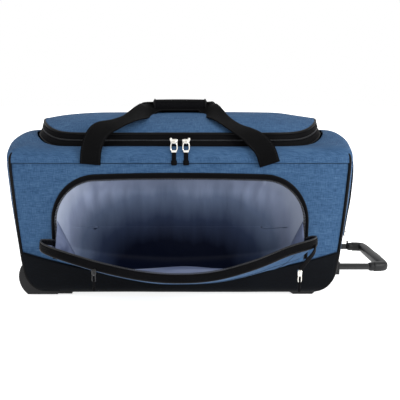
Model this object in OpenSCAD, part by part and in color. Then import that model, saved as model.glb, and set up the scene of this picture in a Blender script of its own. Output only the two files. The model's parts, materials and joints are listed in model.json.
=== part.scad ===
// Rolling duffel bag with a drop-front pocket, lying on its base.
// X runs along the bag, -Y is the front, and the floor is z = 0.

/* [Bag] */
// Depth of the bag from front panel to back panel
bag_depth = 330; // [320:2:340]
// Half of the front panel's width, at the end panels' seams
seam_x = 332; // [330:1:336]
// How far each end panel bulges past its seams
end_bulge = 38; // [30:1:42]
// Height of the top edge of the body, where the lid's zip runs
rim_z = 331; // [329:1:333]
// Height of the lid's crown
crown_z = 369; // [366:1:371]
// Height of the seam under the top yoke
yoke_z = 276; // [274:1:278]
// Thickness of padded fabric
wall = 4; // [3:0.5:5]

/* [Front pocket] */
// Half of the pocket opening's width
pocket_x = 258; // [250:1:262]
// Height of the pocket opening's top edge
pocket_top = 249; // [244:1:252]
// Corner radius of the pocket opening
pocket_r = 85; // [60:1:90]
// Angle from closed at which the open flap rests
flap_open = 68; // [64:1:71]

/* [Lid] */
// Half of the lid's length
lid_x = 303; // [296:1:306]
// Half of the lid's depth
lid_y = 127; // [122:1:129]

/* [Rolling gear] */
// Wheel radius
wheel_r = 36; // [32:1:38]
// Wheel width
wheel_w = 26; // [20:1:28]
// Axle radius
axle_r = 3; // [2.5:0.5:4]
// Radius of the sliding handle tubes
tube_r = 7; // [6:0.5:7.5]
// Distance between the handle tubes
tube_gap = 176; // [160:2:180]
// How far the handle tubes stand out of the bag as stored
handle_out = 92; // [90:1:100]

/* [Hidden] */

half_y = bag_depth / 2;
base_z = 8;                 // underside of the fabric base
shoulder_z = 235;           // where the front starts to curve in
clear = 0.4;                // gap between pieces that move apart
arc_n = 10;                 // steps in a quarter round
corner_r = 66;              // lower corners of the bag seen from the front
pipe_r = 3;
board_z = 62;               // false floor over the handle tubes
board_t = 3;
seam_mid = 42;              // height of the base panel's seam at the middle
seam_end = 95;              // and at the ends
flap_h = 195;               // pocket flap, bottom seam to top edge
flap_z = 46;                // hinge line of the flap
flap_y = -half_y - 5;
flap_t = 5;
zip_z = 322;
strap_t = 4;
wrap_x = 60;
wrap_z = 385;
wrap_y = -10;
wrap_r = 14;
wheel_x = -284;
wheel_y = 128;
screw_x = wheel_x + 53;
tube_z = 42;
bore_gap = 0.08;            // radial clearance of the handle tubes
end_x = seam_x + 2;
grip_x = end_x + handle_out;
grip_w = 31;
button_w = 34;
tube_bore = 5.5;
spring_len = 9;
pin_x = -140;

function arc(cx, cy, rx, ry, a0, a1, n = arc_n) =
    [for (i = [0:n]) let (a = a0 + (a1 - a0) * i / n) [cx + rx * cos(a), cy + ry * sin(a)]];
function flip(pts) = [for (i = [len(pts) - 1:-1:0]) [-pts[i][0], pts[i][1]]];
function seam(x) = seam_mid + (seam_end - seam_mid) * pow(abs(x) / seam_x, 2);

// A solid from a profile in X and Z, y0 to y1 along Y
module along_y(y0, y1) {
    translate([0, y1, 0]) rotate([90, 0, 0]) linear_extrude(y1 - y0) children();
}
// A solid from a profile in Y and Z, x0 to x1 along X
module along_x(x0, x1) {
    translate([x0, 0, 0]) rotate([90, 0, 90]) linear_extrude(x1 - x0) children();
}

// Side profile: straight front and back, rounded in to the rim
module side_profile() {
    half = concat(arc(half_y - 25, base_z + 25, 25, 25, -90, 0, 5),
        arc(half_y - 38, shoulder_z, 38, rim_z - shoulder_z, 0, 90));
    polygon(concat(half, flip(half)));
}
// Front outline: round lower corners, leaning ends, round shoulders
module front_outline() {
    half = concat(arc(seam_x - 12 - corner_r + end_bulge, base_z + corner_r, corner_r, corner_r, -90, 0, 6),
        arc(seam_x + end_bulge - 56, 275, 56, rim_z - 275, 0, 90, 8));
    polygon(concat(half, flip(half)));
}
// Plan: flat front and back, bulging ends
module plan_outline() {
    half = arc(seam_x, 0, end_bulge, half_y, -90, 90, 16);
    polygon(concat(half, flip(half)));
}
module body_solid(inset = 0) {
    intersection() {
        along_x(-450, 450) offset(delta = -inset) side_profile();
        along_y(-250, 250) offset(delta = -inset) front_outline();
        translate([0, 0, -10]) linear_extrude(400) offset(delta = -inset) plan_outline();
    }
}
module body_shell() {
    difference() {
        body_solid();
        body_solid(wall);
    }
}
module below_seam() {
    steps = 16;
    reach = seam_x + end_bulge + 10;
    polygon(concat([[reach, -10], [reach, seam(reach)]],
        [for (i = [1:steps - 1]) let (x = reach - 2 * reach * i / steps) [x, seam(x)]],
        [[-reach, seam(reach)], [-reach, -10]]));
}
module rounded(x, y0, y1, r) {
    polygon(concat(arc(x - r, y0 + r, r, r, -90, 0, 6), arc(x - r, y1 - r, r, r, 0, 90, 8),
        arc(-x + r, y1 - r, r, r, 90, 180, 8), arc(-x + r, y0 + r, r, r, 180, 270, 6)));
}
// Pocket opening: round at the top, following the base seam below
module pocket_outline(grow = 0) {
    low = [for (i = [0:12]) let (x = -pocket_x - grow + 2 * (pocket_x + grow) * i / 12)
        [x, seam(x) + 4 - grow]];
    polygon(concat(low,
        arc(pocket_x - pocket_r, pocket_top - pocket_r, pocket_r + grow, pocket_r + grow, 0, 90, 8),
        arc(-pocket_x + pocket_r, pocket_top - pocket_r, pocket_r + grow, pocket_r + grow, 90, 180, 8)));
}
module lid_outline(grow = 0) {
    r = 92;
    polygon(concat(arc(lid_x - r, -lid_y + r, r + grow, r + grow, -90, 0, 8),
        arc(lid_x - r, lid_y - r, r + grow, r + grow, 0, 90, 8),
        arc(-lid_x + r, lid_y - r, r + grow, r + grow, 90, 180, 8),
        arc(-lid_x + r, -lid_y + r, r + grow, r + grow, 180, 270, 8)));
}
module wheel_well(side, grow) {
    y = side * wheel_y;
    translate([wheel_x, y + wheel_w / 2 + 18 + grow, wheel_r + 4]) rotate([90, 0, 0])
        cylinder(h = wheel_w + 36 + 2 * grow, r = wheel_r + 12 + grow, $fn = 48);
}
// Block beside the wheel that takes the housing's screw
module housing_foot(side, grow) {
    y = side * wheel_y;
    reach = wheel_w / 2 + 14 + grow;
    box([wheel_x, y - reach, 3 - grow], [wheel_x + 60 + grow, y + reach, 48 + grow]);
}
module box(lo, hi) {
    translate(lo) cube(hi - lo);
}

module base_panel() {
    color("#17181b") difference() {
        intersection() {
            body_shell();
            along_y(-250, 250) below_seam();
        }
        for (side = [-1, 1]) {
            wheel_well(side, 0.2);
            housing_foot(side, 0.2);
        }
        for (y = [-1, 1]) box([seam_x - 10, y * tube_gap / 2 - 16, tube_z - 14],
            [seam_x + end_bulge + 10, y * tube_gap / 2 + 16, tube_z + 14]);
    }
}
module fabric_band(x0, x1) {
    intersection() {
        difference() {
            body_shell();
            along_y(-250, 250) below_seam();
        }
        box([x0, -250, 0], [x1, 250, yoke_z]);
    }
}
module front_panel() {
    color("#41628c") difference() {
        intersection() {
            fabric_band(-seam_x, seam_x);
            box([-400, -250, 0], [400, 0, 400]);
        }
        along_y(-half_y - 10, -half_y + 10) pocket_outline();
    }
}
module back_panel() {
    color("#41628c") intersection() {
        fabric_band(-seam_x, seam_x);
        box([-400, 0, 0], [400, 250, 400]);
    }
}
module left_end_panel() {
    color("#41628c") fabric_band(-420, -seam_x);
}
module right_end_panel() {
    color("#41628c") fabric_band(seam_x, 420);
}
module top_yoke() {
    color("#41628c") difference() {
        intersection() {
            body_shell();
            box([-420, -250, yoke_z], [420, 250, 400]);
        }
        translate([0, 0, 200]) linear_extrude(200) lid_outline();
        translate([0, 0, 300]) linear_extrude(50) lid_outline(8);
    }
}
// Rolled edge around the front or the back panel
module piping(side) {
    y = side * (half_y + 0.1 + pipe_r / 2);
    color("#101113") intersection() {
        along_y(y - pipe_r / 2, y + pipe_r / 2)
            difference() {
                rounded(seam_x + 2, base_z + 1, yoke_z - 20, corner_r);
                rounded(seam_x - 3, base_z + 6, yoke_z - 25, corner_r - 5);
                translate([-seam_x + 40, 100]) square([2 * seam_x - 80, 300]);
                translate([-250, -50]) square([500, 200]);
            }
        box([-420, -250, base_z], [420, 250, yoke_z - 30]);
    }
}
module front_piping() {
    piping(-1);
}
module back_piping() {
    piping(1);
}
module base_board() {
    color("#2b2b2e") difference() {
        box([-310, -104, board_z], [318, 150, board_z + board_t]);
        for (side = [-1, 1]) {
            wheel_well(side, 0.3);
            translate([screw_x, side * wheel_y, board_z - 1]) cylinder(h = board_t + 2, r = 2.2, $fn = 24);
        }
    }
}
// Cup behind the pocket opening: back wall, floor and ends
module lining_outline(grow) {
    x = pocket_x + 10 + grow;
    low = [for (i = [0:10]) let (u = -x + 2 * x * i / 10) [u, seam_mid + 7 - grow + 58 * pow(abs(u) / x, 2)]];
    polygon(concat(low, [[x, pocket_top + 4 + grow], [-x, pocket_top + 4 + grow]]));
}
module pocket_lining() {
    front = -half_y + wall + 2.2;
    color("#6f7699") difference() {
        along_y(front, -108) lining_outline(2);
        intersection() {
            along_y(front - 10, -100) lining_outline(0);
            along_x(-400, 400) polygon([[front - 10, 0], [-112, 0], [-110, 130], [-138, 300],
                [front - 10, 300]]);
        }
    }
}
// Folding side cloths that stop the open flap
module pocket_gussets() {
    color("#6f7699") for (side = [-1, 1]) translate([side * (pocket_x - 14), 0, 0])
        along_x(-0.75, 0.75) polygon([[flap_y - 3, flap_z + 60], [flap_y - 3, 136],
            [flap_y - 46, flap_z + 46], [flap_y - 40, flap_z + 36]]);
}
module pocket_zip_tape() {
    color("#101113") along_y(-half_y - 2.5, -half_y - 0.1) difference() {
        pocket_outline(4);
        pocket_outline(-5);
        translate([-pocket_x - 20, 0]) square([2 * pocket_x + 40, 112]);
    }
}
// Places a piece drawn on the closed flap where the open flap holds it
module on_flap() {
    translate([0, flap_y, flap_z]) rotate([flap_open, 0, 0]) translate([0, -flap_y, -flap_z]) children();
}
module flap_outline(grow = 0) {
    x = pocket_x - 2 + grow;
    r = pocket_r + grow;
    top = flap_z + flap_h + grow;
    low = [for (i = [0:10]) let (u = -x + 2 * x * i / 10) [u, flap_z + 62 * pow(abs(u) / x, 2)]];
    polygon(concat(low, arc(x - r, top - r, r, r, 0, 90, 8), arc(-x + r, top - r, r, r, 90, 180, 8)));
}
module pocket_flap() {
    color("#41628c") on_flap() along_y(flap_y - flap_t, flap_y) flap_outline(-9);
}
module flap_zip_tape() {
    color("#101113") on_flap() along_y(flap_y - flap_t - 1, flap_y + 1) difference() {
        flap_outline();
        flap_outline(-8.9);
        translate([-pocket_x - 20, 0]) square([2 * pocket_x + 40, 118]);
    }
}
// A zip slider: body plate and a bridge that holds the pull
module slider(w, h, t) {
    color("#b9bcc0") {
        box([-w / 2, -t, -h / 2], [w / 2, 0, h / 2]);
        box([-w / 6, -t - 4, -h / 2], [w / 6, -t, -h / 2 + 3]);
        box([-w / 6, -t - 4, h / 2 - 3], [w / 6, -t, h / 2]);
        box([-w / 6, -t - 6, -h / 2], [w / 6, -t - 4, h / 2]);
    }
}
// A pull: loop round the bridge, and the tab below it
module pull(w, h) {
    color("#101113") along_y(-1.2, 1.2) difference() {
        translate([-w / 2, -h]) square([w, h + 3]);
        translate([-w / 2 + 1.6, -6]) square([w - 3.2, 7]);
    }
}
flap_slider_z = flap_z + flap_h - 5;
flap_slider_x = [-150, 211];
module flap_slider_at(i) {
    on_flap() translate([flap_slider_x[i], flap_y - flap_t - 1.5,
        flap_slider_z - (i == 0 ? 0 : 14)]) children();
}
module flap_slider_left() {
    flap_slider_at(0) slider(9, 13, 3);
}
module flap_slider_right() {
    flap_slider_at(1) slider(9, 13, 3);
}
// The pulls hang straight down from the sliders on the open flap
function on_open(y, z) = [flap_y + (y - flap_y) * cos(flap_open) - (z - flap_z) * sin(flap_open),
    flap_z + (y - flap_y) * sin(flap_open) + (z - flap_z) * cos(flap_open)];
module flap_pull_at(i) {
    p = on_open(flap_y - flap_t - 12, flap_slider_z - (i == 0 ? 0 : 14));
    translate([flap_slider_x[i], p[0], p[1] - 2]) children();
}
module flap_pull_left() {
    flap_pull_at(0) pull(6, 26);
}
module flap_pull_right() {
    flap_pull_at(1) pull(6, 26);
}
module body_zip_tape() {
    color("#141517") translate([0, 0, 303]) linear_extrude(zip_z - 303 - 0.3) difference() {
        lid_outline(7.8);
        lid_outline(3);
    }
}
module zip_coil() {
    color("#2c2d30") translate([0, 0, zip_z - 4]) linear_extrude(3.6) difference() {
        lid_outline(2.8);
        lid_outline(-1);
        translate([-400, 40]) square([800, 200]);
    }
}
module lid_dome(grow) {
    intersection() {
        translate([0, 0, zip_z + clear]) linear_extrude(crown_z - zip_z + 10) lid_outline(-1 + grow);
        along_x(-400, 400) polygon(concat([[lid_y + 1, 300], [lid_y + 1, rim_z + 3 + grow]],
            arc(0, rim_z + 3, lid_y + 1 + grow, crown_z - rim_z - 3 + grow, 4, 176, 24),
            [[-lid_y - 1, rim_z + 3 + grow], [-lid_y - 1, 300]]));
        along_y(-200, 200) polygon(concat([[lid_x, 300], [lid_x, rim_z + 3 + grow]],
            arc(0, rim_z + 3, lid_x + grow, crown_z - rim_z - 3 + grow, 2, 178, 32),
            [[-lid_x, rim_z + 3 + grow], [-lid_x, 300]]));
    }
}
module lid() {
    color("#41628c") difference() {
        lid_dome(0);
        translate([0, 0, -wall]) lid_dome(-wall);
        translate([0, 0, 300]) linear_extrude(zip_z - 300 + 8) lid_outline(-6);
    }
}
module lid_zip_tape() {
    color("#141517") translate([0, 0, zip_z + clear]) linear_extrude(8) difference() {
        lid_outline(6);
        lid_outline(-0.9);
        translate([-400, 60]) square([800, 200]);
    }
}
module lid_piping() {
    color("#101113") translate([0, 0, zip_z + clear + 8.1]) linear_extrude(4.5) difference() {
        lid_outline(4);
        lid_outline(-0.9);
        translate([-400, 60]) square([800, 200]);
    }
}
main_slider_x = 12;
main_slider_y = -151;       // just off the shoulder, in front of the zip
module main_slider(side) {
    translate([side * main_slider_x, main_slider_y, zip_z - 5]) slider(17, 9, 3);
}
module main_slider_left() {
    main_slider(-1);
}
module main_slider_right() {
    main_slider(1);
}
module main_pull(side) {
    translate([side * main_slider_x, main_slider_y - 11, zip_z - 8]) rotate([-9, 0, 0]) pull(8, 42);
}
module main_pull_left() {
    main_pull(-1);
}
module main_pull_right() {
    main_pull(1);
}
// Centre line of the front strap from its seam to the grip, in Y and Z
strap_path = [[-167.5, 269], [-170, 285], [-160, 322], [-132, 352], [-95, 371], [-55, 383], [-22, 388]];
// Strap leg as the front view shows it: widest at the seam, leaning in to the grip
strap_leg = [[-199, 262], [-199, 285], [-194, 322], [-180, 345], [-135, 366], [-90, 382], [-wrap_x, 399],
    [-wrap_x, 377], [-82, 367], [-125, 352], [-150, 330], [-157, 285], [-157, 262]];
module ribbon_profile(pts) {
    n = len(pts);
    polygon(concat([for (p = pts) p], [for (i = [n - 1:-1:0]) pts[i] + [-0.5 * strap_t, strap_t]]));
}
module strap_half(fold) {
    intersection() {
        along_x(-210, -wrap_x) ribbon_profile(fold);
        along_y(-250, 250) polygon(strap_leg);
    }
}
module strap(fold) {
    for (side = [0, 1]) mirror([side, 0, 0]) strap_half(fold);
}
module front_strap() {
    color("#111214") {
        strap(concat(strap_path, [[wrap_y, 386]]));
        box([-wrap_x - 0.5, wrap_y - 2, wrap_z - 10], [wrap_x + 0.5, wrap_y + 2, wrap_z + 10]);
    }
}
module back_strap() {
    color("#111214") mirror([0, 1, 0]) {
        strap(concat(strap_path, [[-9, 388]]));
        box([-wrap_x - 0.5, -9.5, wrap_z - 10], [wrap_x + 0.5, -5.5, wrap_z + 11]);
    }
}
module grip_wrap() {
    color("#0c0d0f") translate([-wrap_x + 1, wrap_y, wrap_z]) rotate([0, 90, 0]) difference() {
        cylinder(h = 2 * wrap_x - 2, r = wrap_r, $fn = 40);
        translate([-11, -2.2, -1]) cube([22, 4.4, 2 * wrap_x + 2]);
    }
}
// Closed, stuffed pocket on the right end
module end_pocket() {
    color("#41628c") intersection() {
        translate([0, 0, 122]) linear_extrude(150) polygon(concat([[seam_x + end_bulge + 0.2, -118]],
            arc(seam_x + end_bulge + 0.2, 0, 20, 112, -70, 70, 10), [[seam_x + end_bulge + 0.2, 118]]));
        along_x(300, 460) rounded(118, 122, 272, 40);
    }
}
module end_pocket_zip() {
    color("#101113") difference() {
        intersection() {
            translate([0, 0, 110]) linear_extrude(170) difference() {
                polygon(arc(seam_x, 0, end_bulge + 6, half_y - 6, -52, 52, 14));
                polygon(concat(arc(seam_x, 0, end_bulge + 0.3, half_y, -90, 90, 16)));
            }
            along_x(300, 460) rounded(126, 116, 279, 46);
        }
        along_x(300, 460) rounded(118.5, 121.5, 272.5, 40);
    }
}
module end_slider() {
    translate([seam_x + 34, -134, 126]) color("#b9bcc0") {
        box([-2, -5, -6], [4, 3, 6]);
        box([4, -2, -6], [8, 1, -4]);
    }
}
module end_pull() {
    color("#101113") translate([seam_x + 40, -134.5, 119.5]) box([-2, -1.2, -26], [3, 1.2, 0]);
}
// Moulded housing that carries a wheel, with cheeks on both sides of it
module wheel_housing(side) {
    y = side * wheel_y;
    color("#1b1c1f") difference() {
        intersection() {
            union() {
                wheel_well(side, 0);
                housing_foot(side, 0);
            }
            box([-400, y - wheel_w / 2 - 18, 3], [0, y + wheel_w / 2 + 18, 200]);
        }
        translate([wheel_x, y + wheel_w / 2 + 3, wheel_r]) rotate([90, 0, 0])
            cylinder(h = wheel_w + 6, r = wheel_r + 4, $fn = 48);
        box([wheel_x - wheel_r - 4, y - wheel_w / 2 - 3, -10],
            [wheel_x + wheel_r + 4, y + wheel_w / 2 + 3, wheel_r]);
        translate([wheel_x, y + wheel_w, wheel_r]) rotate([90, 0, 0])
            cylinder(h = 2 * wheel_w, r = axle_r, $fn = 32);
    }
}
module wheel_housing_front() {
    wheel_housing(-1);
}
module wheel_housing_back() {
    wheel_housing(1);
}
module wheel_hub(side) {
    color("#3a3c40") translate([wheel_x, side * wheel_y, wheel_r]) rotate([90, 0, 0])
        translate([0, 0, -wheel_w / 2 - 1.5]) difference() {
            union() {
                cylinder(h = wheel_w + 3, r = 9, $fn = 40);
                translate([0, 0, 1.5]) cylinder(h = wheel_w, r = wheel_r - 10, $fn = 48);
            }
            translate([0, 0, -1]) cylinder(h = wheel_w + 6, r = axle_r + 0.06, $fn = 40);
            for (z = [-1, wheel_w - 4]) translate([0, 0, z]) difference() {
                cylinder(h = 8, r = wheel_r - 14, $fn = 48);
                translate([0, 0, -1]) cylinder(h = 10, r = 10, $fn = 40);
            }
        }
}
module wheel_hub_front() {
    wheel_hub(-1);
}
module wheel_hub_back() {
    wheel_hub(1);
}
module tyre(side) {
    w = wheel_w / 2;
    color("#151515") translate([wheel_x, side * wheel_y, wheel_r]) rotate([90, 0, 0])
        rotate_extrude($fn = 64) polygon([[wheel_r - 10, -w], [wheel_r - 3, -w], [wheel_r - 0.8, -w + 3],
            [wheel_r, -w + 7], [wheel_r, w - 7], [wheel_r - 0.8, w - 3], [wheel_r - 3, w],
                [wheel_r - 10, w]]);
}
module tyre_front() {
    tyre(-1);
}
module tyre_back() {
    tyre(1);
}
module axle(side) {
    color("silver") translate([wheel_x, side * wheel_y + wheel_w / 2 + 12, wheel_r]) rotate([90, 0, 0])
        cylinder(h = wheel_w + 24, r = axle_r, $fn = 32);
}
module axle_front() {
    axle(-1);
}
module axle_back() {
    axle(1);
}
// Wear rails on the underside; the bag stands on them, its wheels and its feet
module skid_rails() {
    color("#1b1c1f") for (y = [-60, 0, 60]) along_y(y - 8, y + 8)
        polygon([[-210, base_z], [-200, 0], [200, 0], [210, base_z]]);
}
module corner_foot(side) {
    color("#1b1c1f") translate([0, side * 128, 0]) along_y(-20, 20)
        polygon([[222, base_z], [236, 0], [276, 0], [284, base_z]]);
}
module corner_foot_front() {
    corner_foot(-1);
}
module corner_foot_back() {
    corner_foot(1);
}
// Screws that hold each wheel housing to the false floor
module housing_screws() {
    color("silver") for (side = [-1, 1]) translate([screw_x, side * wheel_y, 0]) {
        translate([0, 0, 48]) cylinder(h = board_z - 48 + board_t, r = 2, $fn = 24);
        translate([0, 0, board_z + board_t]) cylinder(h = 2, r = 4, $fn = 24);
    }
}
module tube_brackets() {
    color("#2b2b2e") for (x = [-206, 296]) difference() {
        box([x, -tube_gap / 2 - 16, tube_z - 14], [x + 18, tube_gap / 2 + 16, board_z]);
        for (y = [-1, 1]) translate([x - 1, y * tube_gap / 2, tube_z]) rotate([0, 90, 0])
            cylinder(h = 20, r = tube_r + 1.6, $fn = 40);
        box([x - 1, -tube_gap / 2 + 16, tube_z - 20], [x + 19, tube_gap / 2 - 16, board_z - 6]);
    }
}
module outer_tubes() {
    color("#8f9296") for (y = [-1, 1]) translate([-240, y * tube_gap / 2, tube_z]) rotate([0, 90, 0])
        difference() {
            cylinder(h = 564, r = tube_r + 1.6, $fn = 40);
            translate([0, 0, -1]) cylinder(h = 570, r = tube_r + bore_gap, $fn = 40);
        }
}
module handle_bezel() {
    color("#1b1c1f") for (y = [-1, 1]) translate([0, y * tube_gap / 2, 0]) difference() {
        box([324.2, -15.5, tube_z - 13.5], [end_x + 9, 15.5, tube_z + 13.5]);
        translate([320, 0, tube_z]) rotate([0, 90, 0]) cylinder(h = 60, r = tube_r + 0.5, $fn = 40);
    }
}
module inner_tubes() {
    color("#0d0e10") difference() {
        for (y = [-1, 1]) translate([pin_x - 12, y * tube_gap / 2, tube_z]) rotate([0, 90, 0]) difference() {
            cylinder(h = grip_x - pin_x + 6, r = tube_r, $fn = 40);
            translate([0, 0, -1]) cylinder(h = grip_x - pin_x + 30, r = tube_bore, $fn = 40);
        }
        for (y = [-1, 1]) translate([pin_x, y * tube_gap / 2, tube_z]) cylinder(h = 10, r = 2.6, $fn = 24);
    }
}
// Moulded hand grip with an elbow at each tube, hollow for the release bar
module handle_grip() {
    reach = tube_gap / 2 + 13;
    color("#111214") difference() {
        union() {
            box([grip_x + 4, -reach, tube_z - 9], [grip_x + grip_w, reach, tube_z + 9]);
            for (y = [-1, 1]) translate([grip_x - 4, y * tube_gap / 2, tube_z]) rotate([0, 90, 0])
                cylinder(h = 9, r = 11, $fn = 40);
        }
        for (y = [-1, 1]) translate([0, y * tube_gap / 2, tube_z]) rotate([0, 90, 0]) {
            translate([0, 0, grip_x - 20]) cylinder(h = 14 + tube_r * 2, r = tube_r, $fn = 40);
            translate([0, 0, grip_x - 20]) cylinder(h = 32, r = 4, $fn = 32);
        }
        box([grip_x + 8, -reach + 6, tube_z - 5], [grip_x + 22, reach - 6, tube_z + 5]);
        box([grip_x + 10, -button_w / 2 - 0.4, tube_z - 4.4], [grip_x + 60, button_w / 2 + 0.4,
            tube_z + 4.4]);
    }
}
module release_button() {
    color("#26272a") union() {
        box([grip_x + 17, -button_w / 2, tube_z - 4], [grip_x + grip_w + 1.5, button_w / 2, tube_z + 4]);
        box([grip_x + 17, -tube_gap / 2 - 4, tube_z - 3], [grip_x + 20, tube_gap / 2 + 4, tube_z + 3]);
    }
}
module push_rods() {
    color("silver") for (y = [-1, 1]) translate([pin_x + 8, y * tube_gap / 2, tube_z]) rotate([0, 90, 0])
        cylinder(h = grip_x + 17 - pin_x - 8, r = 1.8, $fn = 24);
}
// Return spring between the grip's inner wall and the release bar
spring_turns = 4;
spring_steps = 44;
spring_sides = 6;
module button_spring() {
    function at(i, k) = let (a = 360 * spring_turns * i / spring_steps, b = 360 * k / spring_sides,
        r = 3.2 + 0.6 * cos(b)) [0.8 + (spring_len - 2.6) * i / spring_steps + 0.6 * sin(b),
            r * cos(a), r * sin(a)];
    pts = [for (i = [0:spring_steps], k = [0:spring_sides - 1]) at(i, k)];
    sides = [for (i = [0:spring_steps - 1], k = [0:spring_sides - 1])
        let (a = i * spring_sides, b = a + spring_sides, m = (k + 1) % spring_sides) [a + k, a + m,
            b + m, b + k]];
    first = [for (k = [spring_sides - 1:-1:0]) k];
    last = [for (k = [0:spring_sides - 1]) spring_steps * spring_sides + k];
    color("silver") translate([grip_x + 8.2, 0, tube_z]) polyhedron(pts, concat(sides, [first, last]));
}
module lock_pins() {
    color("silver") for (y = [-1, 1]) translate([pin_x, y * tube_gap / 2, tube_z + 2.4])
        cylinder(h = tube_r - 2.4 - 0.5, r = 2.5, $fn = 24);
}

base_panel();
front_panel();
back_panel();
left_end_panel();
right_end_panel();
top_yoke();
front_piping();
back_piping();
base_board();
pocket_lining();
pocket_gussets();
pocket_zip_tape();
pocket_flap();
flap_zip_tape();
flap_slider_left();
flap_slider_right();
flap_pull_left();
flap_pull_right();
body_zip_tape();
zip_coil();
lid();
lid_zip_tape();
lid_piping();
main_slider_left();
main_slider_right();
main_pull_left();
main_pull_right();
front_strap();
back_strap();
grip_wrap();
end_pocket();
end_pocket_zip();
end_slider();
end_pull();
wheel_housing_front();
wheel_housing_back();
wheel_hub_front();
wheel_hub_back();
tyre_front();
tyre_back();
axle_front();
axle_back();
skid_rails();
corner_foot_front();
corner_foot_back();
housing_screws();
tube_brackets();
outer_tubes();
handle_bezel();
inner_tubes();
handle_grip();
release_button();
push_rods();
button_spring();
lock_pins();
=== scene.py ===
import json
import math
import bpy
import bmesh
import numpy as np
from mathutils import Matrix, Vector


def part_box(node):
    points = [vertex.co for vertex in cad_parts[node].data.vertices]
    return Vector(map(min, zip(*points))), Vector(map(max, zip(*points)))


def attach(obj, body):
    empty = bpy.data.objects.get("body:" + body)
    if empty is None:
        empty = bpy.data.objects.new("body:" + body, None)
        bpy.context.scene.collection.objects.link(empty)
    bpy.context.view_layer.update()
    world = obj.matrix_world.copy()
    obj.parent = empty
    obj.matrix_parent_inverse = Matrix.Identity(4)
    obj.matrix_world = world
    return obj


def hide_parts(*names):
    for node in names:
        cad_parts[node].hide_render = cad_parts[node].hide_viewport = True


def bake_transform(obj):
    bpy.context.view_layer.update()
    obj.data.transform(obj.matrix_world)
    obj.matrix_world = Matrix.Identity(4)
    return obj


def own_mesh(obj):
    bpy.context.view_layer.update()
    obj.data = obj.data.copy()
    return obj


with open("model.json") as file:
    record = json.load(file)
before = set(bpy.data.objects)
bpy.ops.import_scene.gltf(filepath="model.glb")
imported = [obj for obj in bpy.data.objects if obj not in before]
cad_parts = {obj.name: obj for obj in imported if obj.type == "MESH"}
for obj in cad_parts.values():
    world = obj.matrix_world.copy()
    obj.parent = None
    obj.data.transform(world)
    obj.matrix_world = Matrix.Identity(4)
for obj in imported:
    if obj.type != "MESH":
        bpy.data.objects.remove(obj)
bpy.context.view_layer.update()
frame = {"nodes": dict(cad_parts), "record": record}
print("frame loaded:", len(frame["nodes"]), "nodes")

lo, hi = {}, {}
for nodeName in frame["nodes"]:
    lo[nodeName], hi[nodeName] = (np.array(c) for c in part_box(nodeName))
pi = math.pi


# Shaders.

class Sock:
    """One output socket; arithmetic on it adds Math nodes."""

    def __init__(self, tree, out):
        self.tree, self.out = tree, out

    def node(self, kind, settings=None, inputs=None, output=0):
        n = self.tree.nodes.new(kind)
        for key, value in (settings or {}).items():
            if key == "stops":
                ramp = n.color_ramp
                while len(ramp.elements) < len(value):
                    ramp.elements.new(0.5)
                for element, (place, colour) in zip(ramp.elements, value):
                    element.position = place
                    element.color = (*colour, 1) if len(colour) == 3 else colour
            else:
                setattr(n, key, value)
        for key, value in (inputs or {}).items():
            if isinstance(value, Sock):
                self.tree.links.new(value.out, n.inputs[key])
            else:
                n.inputs[key].default_value = value
        return Sock(self.tree, n.outputs[output])

    def maths(self, operation, a, b):
        return self.node("ShaderNodeMath", {"operation": operation}, {0: a, 1: b})

    def __add__(self, o): return self.maths("ADD", self, o)
    def __radd__(self, o): return self.maths("ADD", o, self)
    def __sub__(self, o): return self.maths("SUBTRACT", self, o)
    def __rsub__(self, o): return self.maths("SUBTRACT", o, self)
    def __mul__(self, o): return self.maths("MULTIPLY", self, o)
    def __rmul__(self, o): return self.maths("MULTIPLY", o, self)
    def __truediv__(self, o): return self.maths("DIVIDE", self, o)
    def __pow__(self, o): return self.maths("POWER", self, o)

    def sine(self): return self.maths("SINE", self, 0.0)

    def stretch(self, x, y, z):
        return self.node("ShaderNodeVectorMath", {"operation": "MULTIPLY"}, {0: self, 1: (x, y, z)})

    def noise(self, scale, detail=2.0, rough=0.5):
        return self.node("ShaderNodeTexNoise", {}, {"Vector": self, "Scale": scale, "Detail": detail,
                                                    "Roughness": rough})

    def ramp(self, *stops):
        return self.node("ShaderNodeValToRGB", {"stops": stops}, {"Fac": self})

    def step(self, a, b):  # 0 below a, 1 above b
        return self.node("ShaderNodeMapRange", {}, {"Value": self, "From Min": a, "From Max": b})

    def mix(self, a, b):
        """Colour a where this socket is 0, colour b where it is 1."""
        full = [v if isinstance(v, Sock) else (*v, 1) for v in (a, b)]
        return self.node("ShaderNodeMix", {"data_type": "RGBA"}, {0: self, 6: full[0], 7: full[1]}, 2)

    def part(self, axis):
        return self.node("ShaderNodeSeparateXYZ", {}, {0: self}, "XYZ".index(axis))


def newMaterial(name):
    mat = bpy.data.materials.new(name)
    mat.use_nodes = True
    tree = mat.node_tree
    tree.nodes.clear()
    shader = tree.nodes.new("ShaderNodeBsdfPrincipled")
    out = tree.nodes.new("ShaderNodeOutputMaterial")
    tree.links.new(shader.outputs[0], out.inputs[0])
    coords = tree.nodes.new("ShaderNodeTexCoord")
    return mat, shader, Sock(tree, coords.outputs["Object"]), Sock(tree, coords.outputs["UV"])


def dress(shader, colour=None, rough=None, height=None, depth=0.0005, strength=1.0, **fixed):
    """Links colour, roughness and a bump; other values are set on the shader."""
    tree = shader.id_data
    for key, value in (("Base Color", colour), ("Roughness", rough)):
        if isinstance(value, Sock):
            tree.links.new(value.out, shader.inputs[key])
        elif value is not None:
            shader.inputs[key].default_value = (*value, 1) if key == "Base Color" else value
    if height is not None:
        bump = height.node("ShaderNodeBump", {}, {"Height": height, "Distance": depth, "Strength": strength})
        tree.links.new(bump.out, shader.inputs["Normal"])
    for key, value in fixed.items():
        shader.inputs[key.replace("_", " ")].default_value = value


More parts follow.
